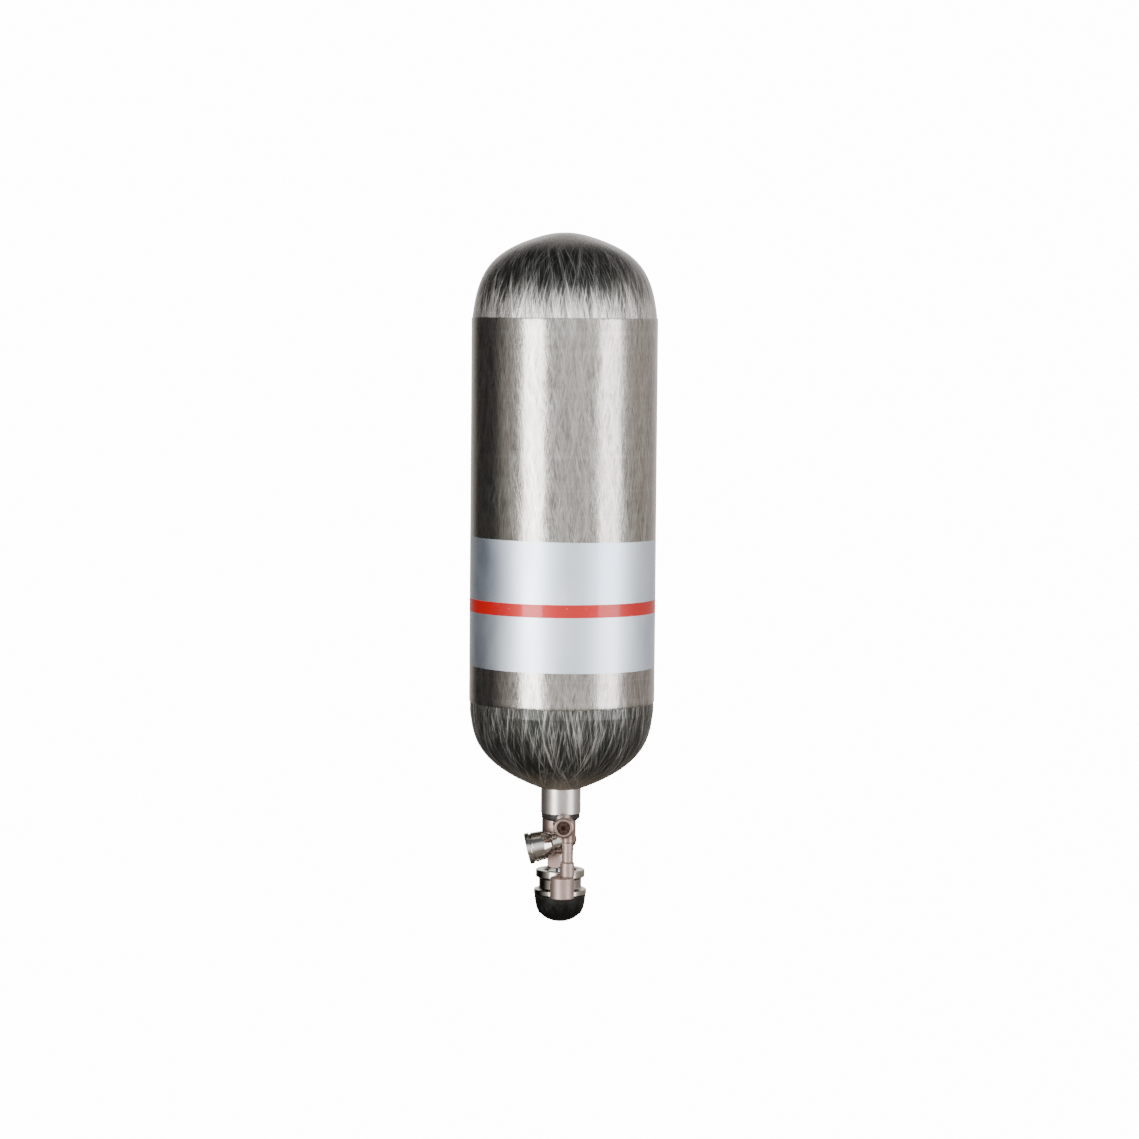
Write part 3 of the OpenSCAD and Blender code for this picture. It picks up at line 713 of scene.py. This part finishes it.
def outlet():
    """The chromed outlet, with a real screw thread cut in its mouth."""
    outer = [(3, -40.5), (5.95, -40.5), (5.95, -36), (8.4, -36), (8.4, -25), (9.8, -23.5),
             (12.9, -17.2), (13.4, -15.8), (14.1, -6.4), (13.3, -6), (13.3, -4.5), (14.75, -4.1),
             (14.75, -0.4), (14.35, 0), (12.2, 0)]
    wall = [(11.46, z) for z in np.linspace(-0.8, -14, 96)]
    outline = rounded(outer, 0.3) + wall + [(6, -16.5), (3, -16.5)]
    first = len(outline) - 2 - len(wall)

    def threaded(r, z, angle, i):
        if not first <= i < first + len(wall):
            return r, z
        deep = -z / MM
        turn = (z / MM / THREAD_PITCH + angle / (2 * math.pi)) % 1.0
        ridge = 1 - min(1.0, abs(turn - 0.5) * 2.35)
        fade = min(1.0, max(0.0, (deep - 0.8) / 1.2)) * min(1.0, max(0.0, (13.2 - deep) / 1.2))
        return r - THREAD_DEPTH * MM * ridge * fade, z

    obj = lathe("outlet", outline, MATERIALS["chrome"], 160, 0, on_outlet(), threaded)
    settle(obj, "root", "chrome", "outlet_connector")


def gland_nut():
    """The hexagon gland nut, its corners turned off at both ends, and its spigot."""
    outline = [(4.05, GLAND_END), (11.0, GLAND_END), (12.6, GLAND_END + 0.5),
               (14.15, GLAND_END + 2.2), (14.15, HUB_END - 2.0), (12.7, HUB_END - 0.1),
               (9.0, HUB_END - 0.1), (8.95, GLAND_TOP), (4.05, GLAND_TOP)]

    def pieces(a, b):
        return max(1, int(abs(a[1] - b[1]) / 0.5)) if min(a[0], b[0]) > 12 else 1

    def six_sided(r, z, angle, i):
        if r < 11.5 * MM:
            return r, z
        off = (angle + math.pi / 6) % (math.pi / 3) - math.pi / 6
        return min(r, 12.25 * MM / math.cos(off) - 0.05 * MM), z

    fine = dense(outline, pieces)
    obj = lathe("gland_nut", fine, MATERIALS["nickel_turned"], 240, 0, None, six_sided)
    settle(obj, "root", "nickel", "gland_nut")


def handwheel():
    """The handwheel: flange, waist and rim, with its web and a bore with two flats."""
    outline = [(3.6, WEB_TOP - 6), (19, WEB_TOP - 6), (19, BUMPER_Z - 4), (21, BUMPER_Z - 4),
               (21, BUMPER_Z), (24.75, BUMPER_Z), (24.75, RIM_Z), (21.2, RIM_Z + 0.3),
               (20, RIM_Z + 1.5), (20, WHEEL_TOP - 8.3), (21.2, WHEEL_TOP - 7), (23, WHEEL_TOP - 7),
               (23, WHEEL_TOP), (17.2, WHEEL_TOP), (15, WHEEL_TOP - 1.0), (15, WEB_TOP),
               (3.6, WEB_TOP)]

    def flats(r, z, angle, i):
        return (min(r, 2.98 * MM / max(0.1, abs(math.cos(angle)))) if r < 4 * MM else r), z

    obj = lathe("wheel", rounded(outline, 1.0, 6), MATERIALS["wheel"], 192, 0, None, flats)
    settle(obj, "handwheel", "wheel_alloy", "handwheel")


def bumper():
    """The rubber bumper under the handwheel, with twelve finger grooves."""
    end = BUMPER_END
    skin = [(0, end), (6.5, end), (13.4, end + 2.6), (20.2, end + 8), (22.4, end + 13),
            (23.6, end + 19.5), (24.2, BUMPER_Z - 0.02)]
    inside = [(21.05, BUMPER_Z - 0.02), (21.05, BUMPER_Z - 4.05), (13, BUMPER_Z - 4.05),
              (13, end + 13), (0, end + 13)]
    lean, groove_r, high = math.radians(25), 3.2, 19

    def pieces(a, b):
        return max(1, int((Vector(a) - Vector(b)).length / 0.7)) if a[0] > 6 else 1

    def grooved(r, z, angle, i):
        up = z / MM - end - 0.7
        if up < 0 or r < 14.5 * MM or up > high:
            return r, z
        off = angle % (math.pi / 6) - math.pi / 12
        across = r / MM * math.sin(off)
        if abs(across) > groove_r:
            return r, z
        reach = math.sqrt(groove_r ** 2 - across ** 2) / math.cos(lean)
        face = 19 + up * math.tan(lean) - reach
        return min(r, face * MM / math.cos(off)), z

    fine = dense(rounded(skin + inside, 1.6, 6), pieces)
    obj = lathe("bumper", fine, MATERIALS["bumper"], 288, 0, None, grooved)
    settle(obj, "handwheel", "bumper_rubber", "handwheel_bumper")


def spring():
    """The handwheel's coil spring, built at one length; the real one shortens as the wheel is
    pressed in.
    """
    low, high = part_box("handwheel_spring")
    wire, radius, loops, sides = 0.6 * MM, 8.2 * MM, 4.75, 12
    steps = int(loops * 48)
    verts, faces = [], []
    for i in range(steps + 1):
        angle, up = 2 * math.pi * loops * i / steps, i / steps
        z = low.z + wire + (high.z - low.z - 2 * wire) * up
        for k in range(sides):
            u = 2 * math.pi * k / sides
            r = radius + wire * math.cos(u)
            verts.append((r * math.cos(angle), r * math.sin(angle), z + wire * math.sin(u)))
    for i in range(steps):
        for k in range(sides):
            a, b = i * sides + k, i * sides + (k + 1) % sides
            faces.append([a, b, b + sides, a + sides])
    faces.append(list(range(sides)))
    faces.append([steps * sides + k for k in range(sides)])
    obj = smooth(make("wheel_spring", verts, faces, MATERIALS["steel"]))
    settle(obj, "spindle", "steel", "handwheel_spring")
    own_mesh(obj)


def gauge():
    """The gauge's stem, its case and the marks on its dial."""
    top, end = CASE_TOP, CASE_END
    stem = [(0.8, top - 4), (2.5, top - 4), (2.5, top + 0.05), (6.6, top + 0.05), (6.6, top + 12.8),
            (5.3, top + 14), (4.9, top + 14), (4.9, BOSS_Z - 15), (3.5, BOSS_Z - 15),
            (3.5, BOSS_Z - 7.2), (0.8, BOSS_Z - 7.2)]
    obj = lathe("stem", stem, MATERIALS["nickel_turned"], 96, 0.35, upright(STEM_AT.x, STEM_AT.y))
    settle(obj, "root", "nickel", "gauge_stem")
    case = [(0, top), (10.3, top), (11.2, top - 0.9), (11.2, end + 0.8), (10.4, end), (10, end),
            (10, top - 1.7), (0, top - 1.7)]
    at = upright(CASE_AT.x, CASE_AT.y)
    obj = lathe("case", case, MATERIALS["nickel_turned"], 144, 0.3, at)
    settle(obj, "root", "nickel", "gauge_case")
    mark_dial(at)


def mark_dial(at):
    """Ticks round the dial and the generic numbers 0 to 300, read from below."""
    z = (CASE_END + 4.5) * MM - 0.02 * MM
    verts = []
    for k in range(31):
        angle = math.radians(90 + 270 * k / 30)
        inner, half = (7.0, 0.13) if k % 10 == 0 else (8.0, 0.06)
        out = Vector((math.cos(angle), math.sin(angle), 0))
        side = Vector((-out.y, out.x, 0)) * half
        for c in (out * inner - side, out * 9.2 - side, out * 9.2 + side, out * inner + side):
            verts.append(at @ Vector((c.x * MM, c.y * MM, z)))
    faces = [[i, i + 1, i + 2, i + 3] for i in range(0, len(verts), 4)]
    settle(make("dial_ticks", verts, faces, MATERIALS["black"]), "root", "pointer")
    ring = 5.6 * MM
    for k, number in enumerate(("0", "100", "200", "300")):
        angle = math.radians(90 + 90 * k)
        text = bpy.data.curves.new(f"dial_{number}", "FONT")
        text.body, text.size, text.align_x, text.align_y = number, 2.0 * MM, "CENTER", "CENTER"
        text.materials.append(MATERIALS["black"])
        obj = linked(f"dial_{number}", text)
        spot = Matrix.Translation((ring * math.cos(angle), ring * math.sin(angle), z))
        obj.matrix_world = at @ spot @ Matrix.Rotation(math.pi, 4, "X")
        settle(obj, "root", "pointer")


# ---------------------------------------------------------------- stage, light and camera
def stage_material():
    """White paper that glows evenly, for the floor and backdrop."""
    s = Shader("white_paper")
    s.set(Base_Color=(0.9, 0.9, 0.9, 1.0), Roughness=0.9, Emission_Color=(1.0, 1.0, 1.0, 1.0),
          Emission_Strength=14.0)
    return s.material


def camera_only(obj):
    """Keeps the stage out of the light: only the camera sees it."""
    obj.visible_diffuse = False
    obj.visible_glossy = False
    obj.visible_transmission = False
    obj.visible_shadow = False


def build_stage():
    """A pale floor well below the hanging cylinder, and a pale backdrop all round."""
    paper = stage_material()
    level, wide, thick, far = -3.6, 8.0, 0.01, 7.0
    slab = [(0.0, level), (wide, level), (wide, level - thick), (0.0, level - thick)]
    verts, faces, _ = turned(slab, 48)
    camera_only(make("floor", verts, faces, paper))
    arc = [(far * math.cos(a), far * math.sin(a)) for a in np.linspace(-0.6, math.pi / 2, 24)]
    arc[-1] = (0.0, far)
    inner = [(0.99 * r, 0.99 * z) for r, z in arc[::-1]]
    verts, faces, _ = turned(arc + inner, 64)
    camera_only(make("backdrop", verts, faces, paper))


def softbox(name, azimuth, width, height, power, tint):
    """A rectangular light aimed at the origin; azimuth 0 is the camera's side, + to the right."""
    data = bpy.data.lights.new(name, "AREA")
    data.shape, data.size, data.size_y = "RECTANGLE", width, height
    data.energy, data.color = power, tint
    lamp = linked(name, data)
    a, e, distance = math.radians(azimuth), math.radians(-1.5), 2.5
    towards = Vector((math.sin(a) * math.cos(e), -math.cos(a) * math.cos(e), math.sin(e)))
    lamp.location = towards * distance
    lamp.rotation_euler = (-lamp.location).to_track_quat("-Z", "Y").to_euler()
    lamp.visible_camera = False


def build_world():
    """Studio surroundings: bright at the front, dark overhead, below and to the far left.
    One ramp runs from straight down to straight up, the other once round from behind, with
    the camera's side in its middle."""
    world = bpy.data.worlds.new("studio")
    world.use_nodes = True
    bpy.context.scene.world = world
    s = Nodes(world.node_tree)
    x, y, z = s.split(s.add("ShaderNodeTexCoord").outputs["Generated"])
    level = s.ramp(s.math("MULTIPLY_ADD", z, 0.5, 0.5), [
        (0.0, (0.12, 0.105, 0.09)), (0.28, (0.17, 0.15, 0.13)), (0.44, (0.66, 0.65, 0.63)),
        (0.52, (1.0, 1.0, 1.0)), (0.70, (0.92, 0.92, 0.93)), (0.82, (0.10, 0.105, 0.105)),
        (1.0, (0.07, 0.075, 0.075))])
    side = s.math("ARCTAN2", x, s.math("MULTIPLY", y, -1.0))
    turn = s.ramp(s.math("MULTIPLY_ADD", side, 0.5 / math.pi, 0.5), [
        (0.0, (0.85, 0.83, 0.80)), (0.085, (0.26, 0.24, 0.22)), (0.13, (0.004, 0.004, 0.003)),
        (0.24, (0.004, 0.004, 0.003)), (0.288, (0.30, 0.29, 0.27)), (0.35, (0.68, 0.68, 0.66)),
        (0.47, (1.0, 1.0, 0.99)), (0.60, (1.0, 0.99, 0.98)), (0.69, (0.85, 0.84, 0.82)),
        (0.78, (0.46, 0.43, 0.40)), (0.89, (0.40, 0.36, 0.35)), (1.0, (0.85, 0.83, 0.80))])
    background = s.tree.nodes["Background"]
    s.put(background.inputs["Color"], s.mix(1.0, level, turn, "MULTIPLY"))
    s.put(background.inputs["Strength"], 1.75)


def build_lights():
    """The two lamps whose reflections run down the wall."""
    softbox("left_box", -37, 1.1, 1.65, 70, (1.0, 1.0, 0.98))
    softbox("right_box", 59, 1.3, 1.7, 42, (0.98, 0.99, 1.0))


def aim_camera():
    """Level with the wrap's upper end, at the picture's distance, looking slightly down."""
    cam = linked("camera", bpy.data.cameras.new("camera"))
    cam.data.sensor_width = 36.0
    cam.data.lens = 110.6
    cam.data.clip_end = 40
    aside, back = 6.3 * MM, 3.265
    pitch, roll = math.radians(90 - 4.11), math.radians(0.5)
    cam.matrix_world = (Matrix.Translation((aside, -back, WRAP_TOP))
                        @ Matrix.Rotation(pitch, 4, "X") @ Matrix.Rotation(roll, 4, "Z"))
    bpy.context.scene.camera = cam


aim_camera()
build_world()
build_lights()
build_stage()
materials()
dress_cad()
overwrap()
hoop_wrap()
label()
forged_body()
outlet()
gland_nut()
handwheel()
bumper()
spring()
gauge()
